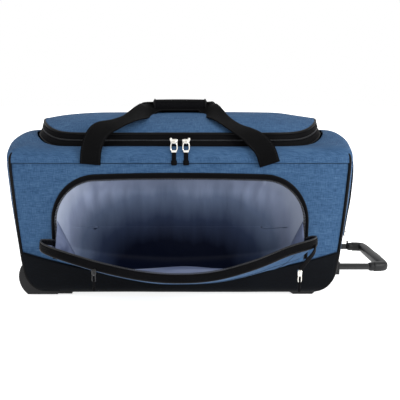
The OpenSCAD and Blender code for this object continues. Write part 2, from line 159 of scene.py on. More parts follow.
def heatherFabric():
    look = dict(dark=(0.014, 0.040, 0.094), mid=(0.030, 0.074, 0.152), light=(0.064, 0.128, 0.226), depth=0.0005)
    mat, shader, obj, uv = newMaterial("heatherFabric")
    weft = uv.stretch(75, 620, 1).noise(1.0, 3.0, 0.6)
    warp = uv.stretch(620, 75, 1).noise(1.0, 3.0, 0.6)
    slub = uv.stretch(22, 160, 1).noise(1.0, 2.0)
    cloud = obj.noise(9.0, 2.0)
    mixed = weft * 0.42 + warp * 0.34 + slub * 0.16 + cloud * 0.12
    colour = mixed.ramp((0.38, look["dark"]), (0.52, look["mid"]), (0.68, look["light"]))
    threads = (uv.part("X") * 4200).sine() * (uv.part("Y") * 4200).sine()
    dress(shader, colour, 0.86 - weft * 0.12, threads * 0.35 + weft * 0.7 + warp * 0.6, look["depth"], 0.55,
          Specular_IOR_Level=0.12)
    return mat


def blackCloth(name, colour, rough, ribs=2600, depth=0.0003, shine=0.035):
    mat, shader, obj, uv = newMaterial(name)
    weave = (uv.part("X") * ribs).sine() * (uv.part("Y") * ribs).sine()
    dust = obj.noise(14.0, 4.0, 0.6)
    grain = obj.noise(420.0, 2.0)
    light = tuple(c * 1.9 + 0.0004 for c in colour)
    dress(shader, (dust * 0.6 + grain * 0.4).step(0.35, 0.75).mix(colour, light), rough - grain * 0.12,
          weave * 0.5 + grain, depth, 0.6, Specular_IOR_Level=shine)
    return mat


def liningClothPaintedLight():
    """Thin shiny cloth with painted light: a painted reflection makes it pale by the opening's top and sides, and
    painted shade makes it navy where the pocket is deepest and lowest.
    """
    look = dict(pale=(0.44, 0.49, 0.60), side=(0.235, 0.275, 0.385), mid=(0.075, 0.100, 0.158),
                low=(0.016, 0.024, 0.050), navy=(0.0010, 0.0022, 0.0085), centreZ=0.055)
    mat, shader, obj, uv = newMaterial("liningClothPaintedLight")
    wide = obj.part("X") * obj.part("X") * 17.6
    high = (obj.part("Z") - look["centreZ"]) * 5.0
    shadeDistance = (wide * wide + high * high) ** 0.5
    waves = obj.stretch(11, 9, 5).noise(1.0, 3.0)
    folds = obj.stretch(60, 9, 14).noise(1.0, 2.0)
    fine = uv.stretch(900, 900, 1).noise(1.0, 2.0)
    # Painted light: painted shade darkens the deep middle to navy, a painted reflection pales the top and sides, and
    # the folds' raised parts are painted lighter.
    level = shadeDistance + (waves - 0.5) * 0.24 + (folds - 0.5) * 0.10
    colour = (level * 0.8).ramp((0.20, look["navy"]), (0.40, look["low"]), (0.60, look["mid"]), (0.80, look["side"]),
                                (0.97, look["pale"]))
    dress(shader, colour, 0.46 + fine * 0.1, waves * 0.7 + folds * 0.5 + fine * 0.04, 0.005, 0.6,
          Specular_IOR_Level=0.07)
    return mat


def flapLiningPaintedShade():
    mat, shader, obj, _ = newMaterial("flapLiningPaintedShade")
    waves = obj.stretch(14, 30, 14).noise(1.0, 3.0)
    # Painted shade and painted light: darker in the troughs of the waves that make its bump, lighter on their crests.
    dress(shader, waves.step(0.3, 0.75).mix((0.075, 0.095, 0.165), (0.165, 0.195, 0.290)), 0.45, waves, 0.004, 0.5,
          Specular_IOR_Level=0.07)
    return mat


def webbingCloth():
    mat, shader, _, uv = newMaterial("webbingCloth")
    u = uv.part("X")
    v = uv.part("Y")
    ribs = (v * 3900).sine() * 0.5 + (u * 1500).sine() * 0.5
    fuzz = uv.stretch(500, 900, 1).noise(1.0, 3.0)
    middle = u - 0.5
    edge = middle.maths("ABSOLUTE", middle, 0.0)
    stitch = edge.node("ShaderNodeMath", {"operation": "COMPARE"}, {0: edge, 1: 0.42, 2: 0.012})
    dash = (v * 1400).sine().step(-0.3, 0.2)
    cloth = fuzz.step(0.3, 0.8).mix((0.0010, 0.0010, 0.0012), (0.0042, 0.0042, 0.0046))
    colour = (stitch * dash * 0.35).mix(cloth, (0.030, 0.030, 0.033))
    dress(shader, colour, 0.72 - fuzz * 0.1, ribs + fuzz * 0.4, 0.0005, 0.6, Specular_IOR_Level=0.04)
    return mat


def plastic(name, colour, rough, grainScale=900.0, depth=0.0001, coat=0.0, shine=0.25):
    mat, shader, obj, _ = newMaterial(name)
    grain = obj.noise(grainScale, 2.0)
    wear = obj.noise(30.0, 4.0, 0.65)
    light = tuple(c * 1.7 + 0.0008 for c in colour)
    dress(shader, wear.step(0.4, 0.8).mix(colour, light), rough + (wear - 0.5) * 0.14, grain, depth, 0.5,
          Coat_Weight=coat, Coat_Roughness=0.12, Specular_IOR_Level=shine)
    return mat


def metal(name, colour, rough, brushed=(40, 40, 40)):
    mat, shader, obj, _ = newMaterial(name)
    streak = obj.stretch(*brushed).noise(8.0, 4.0, 0.6)
    dark = tuple(c * 0.72 for c in colour)
    dress(shader, streak.step(0.3, 0.8).mix(dark, colour), streak * 0.2 + (rough - 0.1), streak, 0.0001, 0.3,
          Metallic=1.0)
    return mat


def floorMaterial():
    mat, shader, obj, _ = newMaterial("studioFloor")
    dress(shader, obj.noise(3.0).mix((0.80, 0.80, 0.80), (0.82, 0.82, 0.82)), 0.9, Specular_IOR_Level=0.0,
          Emission_Color=(1, 1, 1, 1), Emission_Strength=0.82)
    return mat


mats = dict(
    shell=heatherFabric(),
    base=blackCloth("baseCloth", (0.0017, 0.0022, 0.0032), 0.62, 1900, 0.0003, 0.045),
    lining=liningClothPaintedLight(),
    flapLiningPaintedShade=flapLiningPaintedShade(),
    webbing=webbingCloth(),
    wrap=blackCloth("wrapCloth", (0.0014, 0.0014, 0.0019), 0.60, 1500),
    tape=blackCloth("zipTape", (0.0013, 0.0013, 0.0017), 0.66, 3200),
    pull=blackCloth("pullCord", (0.0013, 0.0013, 0.0017), 0.5, 2400),
    piping=plastic("pipingVinyl", (0.0018, 0.0018, 0.0022), 0.42, 500.0, 0.0001, shine=0.08),
    coil=plastic("coilNylon", (0.010, 0.0105, 0.012), 0.38),
    zip=metal("nickel", (0.83, 0.80, 0.74), 0.24),
    lacquer=plastic("blackLacquer", (0.0025, 0.0025, 0.003), 0.3, 300.0, 0.00005, 0.2),
    rubber=plastic("wheelRubber", (0.006, 0.006, 0.006), 0.72, 700.0, 0.0004),
    hub=plastic("hubPlastic", (0.022, 0.023, 0.026), 0.36),
    steel=metal("zincSteel", (0.60, 0.60, 0.60), 0.32),
    alloy=metal("drawnAlloy", (0.56, 0.57, 0.58), 0.30, (4, 90, 90)),
    tube=plastic("tubeBlack", (0.003, 0.003, 0.0036), 0.25, 300.0, 0.00005, 0.3),
    grip=plastic("gripPlastic", (0.0045, 0.0045, 0.0052), 0.42, 1100.0, 0.0002),
    button=plastic("buttonPlastic", (0.014, 0.014, 0.016), 0.38),
    board=plastic("floorBoard", (0.06, 0.06, 0.065), 0.6, 500.0, 0.0003),
    thread=plastic("seamThread", (0.012, 0.026, 0.052), 0.7, 2500.0, 0.0002, shine=0.1),
    moulding=plastic("cornerMoulding", (0.0045, 0.0045, 0.0052), 0.46, 1000.0, 0.0002),
)
slotMaterial = dict(shell_fabric="shell", base_fabric="base", lining="lining", piping="piping", webbing="webbing",
                    wrap="wrap", zip_metal="zip", pull_cord="pull", zip_coil="coil", zip_tape="tape",
                    wheel_rubber="rubber", wheel_plastic="hub", steel="steel", tube_alloy="alloy",
                    tube_black="tube", grip_plastic="grip", button_plastic="button", board="board",
                    moulding="moulding")
print("materials made:", len(mats))


# Mesh tools.

def gridQuads(rows, cols, loopRows=False, loopCols=False):
    """Quads of a rows x cols grid of points; a looped direction joins its last line to its first."""
    i = np.arange(rows if loopRows else rows - 1)
    j = np.arange(cols if loopCols else cols - 1)
    i, j = np.meshgrid(i, j, indexing="ij")
    i2, j2 = (i + 1) % rows, (j + 1) % cols
    return np.stack([i * cols + j, i2 * cols + j, i2 * cols + j2, i * cols + j2], -1).reshape(-1, 4)


def bake(obj):
    """Turns the object's modifiers into mesh."""
    bpy.context.view_layer.update()
    baked = bpy.data.meshes.new_from_object(obj.evaluated_get(bpy.context.evaluated_depsgraph_get()))
    obj.modifiers.clear()
    obj.data = baked


def bend(obj, a, b, start, end):
    """Bakes the modifiers and the object's transform into its mesh; a, b, start and end are not used."""
    bake(obj)
    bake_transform(obj)


def settle(obj):
    """Bakes the modifiers, then gives the object its own copy of the mesh."""
    bake(obj)
    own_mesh(obj)


def meshPiece(name, points, quads, material, body, slotName, replaced=(), uv=None, thick=0.0, flip=False,
              subdiv=0, weld=0.00002, outward=False, inner=None):
    """Makes an object from points and quads, attaches it to its body when that is a name and bakes it otherwise, and
    hides the nodes it replaces; slotName is not used.
    """
    mesh = bpy.data.meshes.new(name)
    faces = quads[:, ::-1] if flip else quads
    mesh.from_pydata(points.reshape(-1, 3).tolist(), [], faces.tolist())
    if uv is not None:
        layer = mesh.uv_layers.new(name="cloth")
        loops = np.empty(len(mesh.loops), dtype=np.int32)
        mesh.loops.foreach_get("vertex_index", loops)
        layer.data.foreach_set("uv", uv.reshape(-1, 2)[loops].astype(np.float32).ravel())
    bm = bmesh.new()
    bm.from_mesh(mesh)
    bmesh.ops.remove_doubles(bm, verts=bm.verts, dist=weld)
    bmesh.ops.dissolve_degenerate(bm, dist=weld, edges=bm.edges)
    if outward:
        bmesh.ops.recalc_face_normals(bm, faces=bm.faces)
    bm.to_mesh(mesh)
    bm.free()
    mesh.shade_smooth()
    obj = bpy.data.objects.new(name, mesh)
    bpy.context.collection.objects.link(obj)
    mesh.materials.append(mats[material])
    if inner:
        mesh.materials.append(mats[inner])
    if thick:
        shell = obj.modifiers.new("thickness", "SOLIDIFY")
        shell.thickness, shell.offset = thick, -1.0
        if inner:
            shell.material_offset = 1
    if subdiv:
        smooth = obj.modifiers.new("smooth", "SUBSURF")
        smooth.levels = smooth.render_levels = subdiv
    if isinstance(body, str):
        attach(obj, body)
    else:
        bend(obj, *body)
    if replaced:
        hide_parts(*replaced)
    return obj


def arcLengths(points, axis):
    step = np.linalg.norm(np.diff(points, axis=axis), axis=-1)
    total = np.cumsum(step, axis=axis)
    first = np.zeros_like(np.take(total, [0], axis=axis))
    return np.concatenate([first, total], axis=axis)


def clothUv(points):
    """Cloth coordinates in metres: distance along each of the grid's two directions."""
    across = arcLengths(points, 1)
    return np.stack([across - across[:, -1:] / 2, arcLengths(points, 0)], -1)


def ease(t):
    t = np.clip(t, 0, 1)
    return t * t * (3 - 2 * t)


def spline(knots, count):
    """Catmull-Rom curve through the knots, resampled to equal steps."""
    k = np.array(knots, float)
    k = np.vstack([2 * k[0] - k[1], k, 2 * k[-1] - k[-2]])
    t = np.linspace(0, len(knots) - 1, 40 * len(knots))
    i = np.minimum(t.astype(int), len(knots) - 2)
    f = (t - i)[:, None]
    a, b, c, d = k[i], k[i + 1], k[i + 2], k[i + 3]
    p = 0.5 * (2 * b + (c - a) * f + (2 * a - 5 * b + 4 * c - d) * f ** 2 + (3 * b - a - 3 * c + d) * f ** 3)
    return resample(p, count)


def resample(p, count):
    s = np.concatenate([[0], np.cumsum(np.linalg.norm(np.diff(p, axis=0), axis=1))])
    at = np.linspace(0, s[-1], count)
    return np.stack([np.interp(at, s, p[:, k]) for k in range(p.shape[1])], -1)


def unit(v):
    return v / np.maximum(np.linalg.norm(v, axis=-1, keepdims=True), 1e-9)


def tangents(path, closed=False):
    if closed:
        return unit(np.roll(path, -1, 0) - np.roll(path, 1, 0))
    return unit(np.gradient(path, axis=0))


def sweep(path, up, section, closed=False, scale=None):
    """Carries a closed section (side, up offsets) along the path: point = path + side*a + up*b."""
    t = tangents(path, closed)
    side = unit(np.cross(t, up))
    top = unit(np.cross(side, t))
    a, b = section[:, 0], section[:, 1]
    if scale is not None:
        a, b = a[None] * scale[:, None], b[None] * scale[:, None]
    else:
        a, b = np.broadcast_to(a, (len(path), len(a))), np.broadcast_to(b, (len(path), len(b)))
    return path[:, None] + side[:, None] * a[..., None] + top[:, None] * b[..., None]


def sweptPiece(name, path, up, section, material, body, slotName, replaced=(), closed=False, scale=None, **more):
    points = sweep(path, up, section, closed, scale)
    rows, cols = points.shape[:2]
    quads = gridQuads(rows, cols, closed, True)
    lengths = np.concatenate([[0], np.cumsum(np.linalg.norm(np.diff(path, axis=0), axis=1))])
    round_ = np.linspace(0, 1, cols)
    uv = np.stack(np.broadcast_arrays(round_[None], lengths[:, None]), -1)
    if not closed:  # caps: a fan drawn as one more ring at each end's middle
        points = np.concatenate([np.broadcast_to(points[0].mean(0), (1, cols, 3)), points,
                                 np.broadcast_to(points[-1].mean(0), (1, cols, 3))])
        uv = np.concatenate([uv[:1], uv, uv[-1:]])
        quads = gridQuads(rows + 2, cols, False, True)
    return meshPiece(name, points, quads, material, body, slotName, replaced, uv, outward=True, **more)


def roundSection(r, n=10, squash=1.0):
    a = np.linspace(0, 2 * pi, n, endpoint=False)
    return np.stack([r * np.cos(a), r * squash * np.sin(a)], -1)


def barSection(w, h, r, n=4):
    """Rounded rectangle, w wide and h high, corner radius r."""
    a = np.linspace(0, pi / 2, n)
    corners = [(w / 2 - r, h / 2 - r, 0), (-w / 2 + r, h / 2 - r, pi / 2), (-w / 2 + r, -h / 2 + r, pi),
               (w / 2 - r, -h / 2 + r, 1.5 * pi)]
    return np.concatenate([np.stack([x + r * np.cos(a + t), y + r * np.sin(a + t)], -1) for x, y, t in corners])


def ripple(p, scale, seed):
    """Smooth repeatable wrinkles: a sum of a few crossed sine waves."""
    rng = np.random.default_rng(seed)
    total = 0
    for _ in range(6):
        d = rng.normal(size=3)
        d = d / np.linalg.norm(d) * scale * rng.uniform(0.6, 1.7)
        total = total + np.sin(p @ d + rng.uniform(0, 6.3)) / 6
    return total


print("mesh tools ready")


# The bag's form.

bag = dict(depth=-lo["front_panel"][1],   # half of the depth
           seamX=0.3185, seamTop=0.339, baseZ=lo["base_panel"][2], yokeZ=hi["front_panel"][2],
           cornerR=0.056, cornerX=0.2625, cornerZ=0.064, square=0.60, bulgeLow=0.016, bulge=0.023, swell=0.007,
           seamMid=0.042, seamEnd=0.095, ringX=hi["lid"][0] - 0.009, ringY=hi["lid"][1] + 0.002, ringR=0.116,
           ringZ=0.3190, ringRise=0.024, crownZ=hi["lid"][2] - 0.0005)


def halfWidth(z):
    """Half-width of the front panel at height z: leaning sides over round lower corners."""
    lean = bag["seamX"] + (bag["seamTop"] - bag["seamX"]) * np.clip((z - bag["cornerZ"]) / 0.2, 0, 1) ** 0.8
    low = np.clip(bag["cornerZ"] - z, 0, bag["cornerR"])
    return np.where(z > bag["cornerZ"], lean, bag["cornerX"] + np.sqrt(bag["cornerR"] ** 2 - low ** 2))


def halfDepth(z):
    """Half-depth at height z: a small round at the floor, and slightly drawn in at the yoke."""
    low = np.clip(0.026 - z, 0, 0.018)
    return bag["depth"] - 0.001 - (0.018 - np.sqrt(0.018 ** 2 - low ** 2)) - 0.004 * ease((z - 0.15) / 0.126)


def seamZ(x):
    return bag["seamMid"] + (bag["seamEnd"] - bag["seamMid"]) * np.minimum(np.abs(x) / 0.322, 1) ** 2


def wallPoint(side, u, z):
    """A point of the upright walls. Each side runs with u from 0 to 1, anticlockwise seen from above."""
    w, d = halfWidth(z), halfDepth(z)
    t = 2 * u - 1
    swell = bag["swell"] * (1 - t ** 2) * np.sin(pi * np.clip(z / 0.3, 0, 1))
    bulge = bag["bulgeLow"] + (bag["bulge"] - bag["bulgeLow"]) * ease((z - 0.04) / 0.2)
    out = bulge * np.clip(1 - np.abs(t) ** 2.4, 0, 1) ** 0.8
    if side in ("front", "back"):
        s = -1 if side == "front" else 1
        p = np.stack(np.broadcast_arrays(-s * w * t, s * (d + swell), z), -1)
        n = np.array([0, s, 0.0])
    else:
        s = 1 if side == "right" else -1
        p = np.stack(np.broadcast_arrays(s * (w + out), s * d * t, z), -1)
        n = np.array([s, 0, 0.0])
    fade = (1 - t ** 6)[..., None]
    return p + n * fade * (0.0016 * ripple(p, 34, 5) + 0.0009 * ripple(p, 90, 6))[..., None]


def ringPath(side, u, grow=0.0):
    """Lid outline in plan, cut into the four runs that face the four walls."""
    r = bag["ringR"] + grow
    x, y = bag["ringX"] - bag["ringR"], bag["ringY"] - bag["ringR"]
    q = np.linspace(0, pi / 4, 12)
    first = {"front": (-x, -y, 5 * pi / 4, x), "right": (x, -y, 7 * pi / 4, y)}[
        "front" if side in ("front", "back") else "right"]
    a = first[2] + q
    head = np.stack([first[0] + r * np.cos(a), first[1] + r * np.sin(a)], -1)
    if side in ("front", "back"):
        tail = head[::-1] * [-1, 1]
    else:
        tail = head[::-1] * [1, -1]
    line = resample(np.concatenate([head, tail]), 400)
    flat = np.stack([np.interp(u, np.linspace(0, 1, 400), line[:, k]) for k in (0, 1)], -1)
    return flat if side in ("front", "right") else -flat


def ringHeight(p):
    """The zip climbs over the stuffed ends of the bag and lies lower along the front and back."""
    side = np.clip(1 - (p[..., 1] / bag["ringY"]) ** 2, 0, 1)
    end = ease((np.abs(p[..., 0]) - 0.19) / 0.11)
    return bag["ringZ"] + bag["ringRise"] * side ** 1.5 * end


sides = ("front", "right", "back", "left")


def ringLoop(count, grow=0.0, lift=0.0):
    """The whole lid outline as a closed loop of count points on each of the four runs."""
    u = np.linspace(0, 1, count, endpoint=False)
    flat = np.concatenate([ringPath(s, u, grow) for s in sides])
    return np.concatenate([flat, ringHeight(flat)[:, None] + lift], -1)


def wallLoop(count, z):
    u = np.linspace(0, 1, count, endpoint=False)
    return np.concatenate([wallPoint(s, u, np.full(count, z)) for s in sides])


# Shell panels.

def makeYoke():
    """From the wall loop up and in to the lid opening: a squared quarter ellipse for each pair of loop points."""
    n = 72
    outer, inner = wallLoop(n, bag["yokeZ"]), ringLoop(n, 0.012, -0.014)
    a = np.linspace(0, 1, 34)[:, None, None] ** 1.3 * pi / 2 * 0.985
    reach, climb = np.cos(a) ** bag["square"], np.sin(a) ** bag["square"]
    mixed = outer[None] * reach + inner[None] * (1 - reach)
    mixed[..., 2] = outer[None, :, 2] + (inner[None, :, 2] - outer[None, :, 2]) * climb[..., 0]
    soft = np.sin(a * 2)[..., 0]
    mixed[..., 2] += soft * (0.0030 * ripple(mixed, 22, 11) + 0.0012 * ripple(mixed, 70, 12))
    rows, cols = mixed.shape[:2]
    mixed = np.concatenate([mixed, mixed[:, :1]], 1)
    meshPiece("yokeShell", mixed, gridQuads(rows, cols + 1), "shell", "root", "shell_fabric", ("top_yoke",),
              clothUv(mixed), 0.003, flip=False, subdiv=1)


def makeWalls():
    """Ends and back above the black base, up to the yoke seam."""
    for side, node in (("back", "back_panel"), ("left", "left_end_panel"), ("right", "right_end_panel")):
        u = np.linspace(0, 1, 60 if side == "back" else 40)[None]
        v = np.linspace(0, 1, 30)[:, None]
        edge = seamZ(wallPoint(side, u, np.full_like(u, 0.1))[..., 0])
        z = edge + (bag["yokeZ"] - edge) * v
        p = wallPoint(side, np.broadcast_to(u, z.shape), z)
        meshPiece(side + "Wall", p, gridQuads(*p.shape[:2]), "shell", "root", "shell_fabric", (node,), clothUv(p),
                  0.003, subdiv=1)


def makeBase():
    """Black base: walls up to the smile seam, closed by the underside."""
    n = 72
    u = np.linspace(0, 1, n, endpoint=False)
    rows = []
    for v in np.linspace(0, 1, 20):
        ring = []
        for side in sides:
            top = seamZ(wallPoint(side, u, np.full(n, 0.1))[..., 0])
            z = bag["baseZ"] + (top - bag["baseZ"]) * v ** 1.5
            ring.append(wallPoint(side, u, z))
        rows.append(np.concatenate(ring))
    walls = np.array(rows)
    low = walls[0]
    under = low[None] * np.array([1, 1, 0]) * np.linspace(0, 1, 9)[:-1, None, None]
    under[..., 2] = bag["baseZ"]
    p = np.concatenate([under, walls])
    p = np.concatenate([p, p[:, :1]], 1)
    meshPiece("baseShell", p, gridQuads(*p.shape[:2]), "base", "root", "base_fabric", ("base_panel",), clothUv(p),
              0.003, outward=False)


pocket = dict(x=hi["pocket_zip_tape"][0] - 0.010, top=hi["pocket_zip_tape"][2] - 0.009, r=0.085, low=0.006)


def pocketLoop(grow=0.0, count=240):
    """Edge of the pocket opening in x and z: round above, along the base seam below; starts low at the left."""
    x, r = pocket["x"] + grow, pocket["r"] + grow
    cx, cz = pocket["x"] - pocket["r"], pocket["top"] - pocket["r"]
    a = np.linspace(pi, pi / 2, 20)
    left = np.stack([-cx + r * np.cos(a), cz + r * np.sin(a)], -1)
    bowed = np.stack([np.linspace(-cx, cx, 24), np.full(24, cz + r)], -1)[1:-1]
    bowed[:, 1] += 0.003 * (1 - (bowed[:, 0] / cx) ** 2)
    zLow = float(seamZ(x)) + pocket["low"]
    half = np.concatenate([[[-x, zLow]], left, bowed, left[::-1] * [-1, 1], [[x, zLow]]])
    upper = resample(half, count)
    xs = np.linspace(x, -x, count // 2 + 2)[1:-1]
    lower = np.stack([xs, seamZ(xs) + pocket["low"]], -1)
    return upper, lower


def onFront(xz, proud=0.0):
    """Puts points given as x and z on the front panel's surface."""
    z = xz[..., 1]
    u = xz[..., 0] / halfWidth(z) / 2 + 0.5
    p = wallPoint("front", u, z)
    p[..., 1] -= proud
    return p


def makeFrontPanel():
    """Ring between the pocket opening and the panel's outer edges, ray by ray from the pocket's middle."""
    upper, lower = pocketLoop(0.002)
    loop = np.concatenate([upper, lower])
    centre = np.array([0, 0.150])
    ray = unit(loop - centre)
    reach = np.linspace(0.0, 0.5, 900)[None, :, None]
    q = loop[:, None] + ray[:, None] * reach
    inside = (np.abs(q[..., 0]) < halfWidth(q[..., 1])) & (q[..., 1] < bag["yokeZ"]) & (
        q[..., 1] > seamZ(q[..., 0]) + 0.0005)
    last = np.where(inside.all(1), 899, np.argmin(inside, 1))
    far = np.take_along_axis(reach[0, :, 0], np.maximum(last, 1), 0)
    outer = loop + ray * far[:, None]
    for corner in ((-1, 1), (1, 1), (-1, -1), (1, -1)):  # square the outer corners off
        z = bag["yokeZ"] if corner[1] > 0 else bag["seamEnd"]
        spot = np.array([corner[0] * float(halfWidth(np.array(z))), z])
        outer[np.argmin(np.linalg.norm(outer - spot, axis=1))] = spot
    v = np.linspace(0, 1, 16)[:, None, None]
    xz = loop[None] * (1 - v) + outer[None] * v
    xz = np.concatenate([xz, xz[:, :1]], 1)
    p = onFront(xz)
    uv = p[..., [0, 2]].copy()
    meshPiece("frontPanelShell", p, gridQuads(*p.shape[:2]), "shell", "root", "shell_fabric", ("front_panel",), uv,
              0.003, flip=True)


def makePocketLining():
    """Cup of thin cloth behind the opening: rings shrink to the middle while the depth grows."""
    upper, lower = pocketLoop(0.001)
    loop = np.concatenate([upper, lower])
    loop = np.concatenate([loop, loop[:1]])
    meet = np.where(loop[:, 1] > 0.135, 0.132, 0.138)
    centre = np.stack([np.clip(loop[:, 0], -0.17, 0.17), meet], -1)[None]
    r = np.linspace(0, 1, 46)[:, None, None]
    xz = loop[None] * (1 - r) + centre * r
    edge = onFront(loop[None], -0.001)[0]
    r1 = r[..., 0]
    y = edge[None, :, 1] * (1 - r1) + edge[:, 1].mean() * r1
    p = np.stack([xz[..., 0], y, xz[..., 1]], -1)
    deep = 0.044 - 0.020 * ease((xz[..., 1] - 0.13) / 0.12)
    p[..., 1] += deep * np.minimum(1, 1 - (1 - np.clip(r1 * 3.4, 0, 1)) ** 2.2)
    x, z = p[..., 0], p[..., 2]
    topPleat = ease((z - 0.16) / 0.08) * ease(r1 * 12)
    near = np.exp(-((np.abs(x) - 0.16) / 0.06) ** 2)
    pleats = np.sin(x * 210 + 2.2 * np.sin(z * 40)) * near * 0.0040 + np.sin(x * 95 + z * 30) * 0.0016
    soft = 0.0035 * ripple(p, 26, 21) + 0.0016 * ripple(p, 60, 22)
    p[..., 1] += (pleats * topPleat + soft * ease(r1 * 8))
    meshPiece("pocketLiningCloth", p, gridQuads(*p.shape[:2]), "lining", "root", "lining", ("pocket_lining",),
              p[..., [0, 2]].copy(), 0.0012, flip=False)


def makePiping():
    """Round cord sewn along the front and back panels' outer edges."""
    for side, s, node in (("front", -1, "front_piping"), ("back", 1, "back_piping")):
        z = np.concatenate([np.linspace(bag["yokeZ"], 0.075, 40), np.linspace(0.074, bag["baseZ"], 30)[1:]])
        left = np.stack([-halfWidth(z), s * halfDepth(z), z], -1)
        shoulder = yokeEdge(s)
        half = np.concatenate([shoulder, left[1:]])
        bottomX = np.linspace(-bag["cornerX"], bag["cornerX"], 40)[1:-1]
        bottom = np.stack([bottomX, np.full(38, s * float(halfDepth(np.array(bag["baseZ"])))),
                           np.full(38, bag["baseZ"] + 0.0015)], -1)
        path = resample(np.concatenate([half, bottom, half[::-1] * [-1, 1, 1]]), 420)
        path[:, 2] = np.maximum(path[:, 2], bag["baseZ"] + 0.002)
        up = np.broadcast_to([0, s, 0.2], path.shape)
        sweptPiece(side + "PipingCord", path, up, roundSection(0.0033, 8), "piping", "root", "piping", (node,))


def yokeEdge(s):
    """The piping's way up over the left shoulder, from the lid's end down to the yoke seam."""
    a = pi / 2 * 0.93 * np.linspace(1, 0, 26) ** 1.3
    z0 = bag["yokeZ"]
    outer = np.array([-float(halfWidth(np.array(z0))), s * float(halfDepth(np.array(z0)))])
    corner = ringPath("front", np.array([0.0]), 0.012)[0] * [1, -s]
    reach, climb = np.cos(a)[:, None] ** bag["square"], np.sin(a) ** bag["square"]
    flat = outer[None] * reach + corner[None] * (1 - reach)
    top = bag["ringZ"] - 0.014
    return np.stack([flat[:, 0], flat[:, 1], z0 + (top - z0) * climb + 0.001], -1)


makeYoke()
makeWalls()
makeBase()
makeFrontPanel()
makePocketLining()
makePiping()
print("shell made")


# Lid and its zip.

def makeLid():
    """Dome over the lid outline: rings shrink to a ridge along x while the height eases up to the crown."""
    ring = ringLoop(110, 0.0, 0.013)
    ring = np.concatenate([ring, ring[:1]])
    r = np.linspace(0, 1, 56)[:, None]
    ridge = np.stack([np.clip(ring[:, 0], -0.17, 0.17), np.zeros(len(ring))], -1)
    flat = ring[None, :, :2] * (1 - r[..., None]) + ridge[None] * r[..., None]
    crown = bag["crownZ"] - 0.006 * (flat[..., 0] / bag["ringX"]) ** 4
    z = ring[None, :, 2] + (crown - ring[None, :, 2]) * (1 - (1 - r) ** 2.6)
    p = np.concatenate([flat, z[..., None]], -1)
    p[..., 2] += np.sin(pi * r) * (0.0022 * ripple(p, 24, 31) + 0.0009 * ripple(p, 60, 32))
    meshPiece("lidShell", p, gridQuads(*p.shape[:2]), "shell", "lid", "shell_fabric", ("lid",),
              p[..., [0, 1]].copy(), 0.003)


def bandPiece(name, low, high, material, body, slotName, replaced, thick=0.0015, bow=0.0):
    """Band of tape between two closed loops, given as (grow, lift) from the lid outline."""
    a, b = ringLoop(96, *low), ringLoop(96, *high)
    t = np.linspace(0, 1, 7)[:, None, None]
    p = a[None] * (1 - t) + b[None] * t
    out = unit(a * [1, 1, 0])
    p = p + out[None] * np.sin(pi * t) * bow
    p = np.concatenate([p, p[:, :1]], 1)
    return meshPiece(name, p, gridQuads(*p.shape[:2]), material, body, slotName, replaced, clothUv(p), thick,
                     flip=False)


def makeLidZip():
    bandPiece("bodyTapeBand", (0.0125, -0.0155), (0.0060, -0.0015), "tape", "root", "zip_tape", ("body_zip_tape",),
              bow=0.0008)
    bandPiece("lidTapeBand", (0.0058, 0.0018), (0.0015, 0.0130), "tape", "lid", "zip_tape", ("lid_zip_tape",),
              bow=0.0010)
    for name, grow, lift, body, r, node in (("lidPipingCord", 0.0022, 0.0130, "lid", 0.0030, ("lid_piping",)),
                                            ("bodyBinding", 0.0130, -0.0150, "root", 0.0022, ())):
        loop = ringLoop(110, grow, lift)
        up = np.broadcast_to([0, 0, 1.0], loop.shape)
        sweptPiece(name, loop, up, roundSection(r, 8), "piping", body, "piping", node, closed=True)
    makeTeeth("lidTeeth", ringLoop(330, 0.0068, 0.0002), "root", ("zip_coil",))


def makeTeeth(name, loop, body, replaced, closed=True, size=(0.0022, 0.0036, 0.0022), out=None):
    """One small block for each tooth of a coil, set across the path."""
    gap = 0.0030
    total = np.linalg.norm(np.diff(loop, axis=0), axis=1).sum()
    path = resample(np.concatenate([loop, loop[:1]]) if closed else loop, int(total / gap))
    t = tangents(path)
    up = unit(np.array([0, 0, 1.0]) - t * t[:, 2:3]) if out is None else unit(np.cross(t, out))
    side = np.cross(t, up)
    box = np.array([[x, y, z] for x in (-.5, .5) for y in (-.5, .5) for z in (-.5, .5)])
    corners = box * [size[0], size[1], size[2]]
    p = path[:, None] + t[:, None] * corners[:, 0, None] + side[:, None] * corners[:, 2, None]
    p = p + up[:, None] * corners[:, 1, None]
    quad = np.array([[0, 1, 3, 2], [4, 6, 7, 5], [0, 4, 5, 1], [2, 3, 7, 6], [0, 2, 6, 4], [1, 5, 7, 3]])
    quads = (np.arange(len(path))[:, None, None] * 8 + quad).reshape(-1, 4)
    return meshPiece(name, p, quads, "coil", body, "zip_coil", replaced, weld=1e-6, outward=True)


makeLid()
makeLidZip()
print("lid made")


# Carry straps.

strap = dict(width=0.041, thick=0.0026, gripX=hi["grip_wrap"][0],
             gripY=(lo["grip_wrap"][1] + hi["grip_wrap"][1]) / 2, gripZ=(lo["grip_wrap"][2] + hi["grip_wrap"][2]) / 2)


